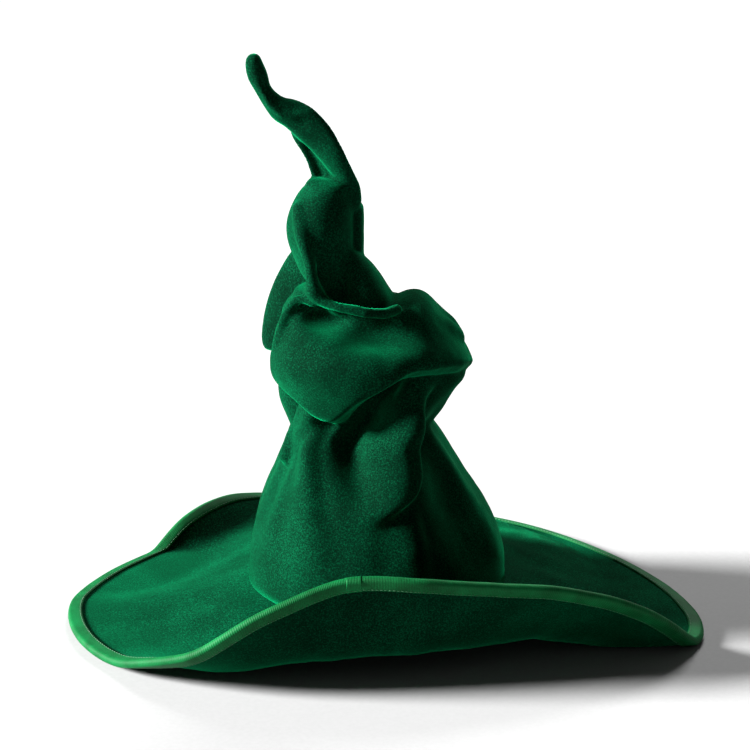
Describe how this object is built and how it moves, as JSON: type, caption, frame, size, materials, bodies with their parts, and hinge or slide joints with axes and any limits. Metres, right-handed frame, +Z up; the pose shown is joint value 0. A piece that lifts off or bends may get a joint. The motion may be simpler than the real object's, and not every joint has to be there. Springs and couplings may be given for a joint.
{
  "type": "witch hat",
  "caption": "Soft velvet hat with a tall, crooked, gathered crown and a wide, wired, ribbon-bound brim that curls up at the front.",
  "frame": {"origin": "centre of the head opening, level with the sweatband's lower edge", "axes": "+Z up through the crown, along the axis of the head opening; -Y is the hat's front, where the brim curls up; +X is the side of the brim's pointed tip"},
  "size_m": [0.48, 0.3929, 0.429],
  "materials": {
    "velvet": "crushed velvet pile",
    "felt": "matte felt",
    "lining": "satin",
    "ribbon": "ribbed ribbon",
    "thread": "spun thread",
    "label": "woven tape",
    "wire": "drawn wire",
    "fibre": "loose polyester fibre"
  },
  "bodies": {
    "root": {"crown_velvet": "velvet", "crown_interlining": "felt", "crown_lining": "lining", "crown_back_seam": "thread", "crown_join_thread": "thread", "sweatband": "ribbon", "sweatband_thread": "thread", "size_label": "label", "brim_top_velvet": "velvet", "brim_felt": "felt", "brim_under_velvet": "velvet", "brim_binding": "ribbon", "binding_lap": "ribbon", "binding_top_thread": "thread", "binding_under_thread": "thread", "brim_wire": "wire", "brim_wire_sleeve": "wire", "peak_wire": "wire", "peak_fill": "fibre", "fold_tacks": "thread"}
  },
  "joints": []
}
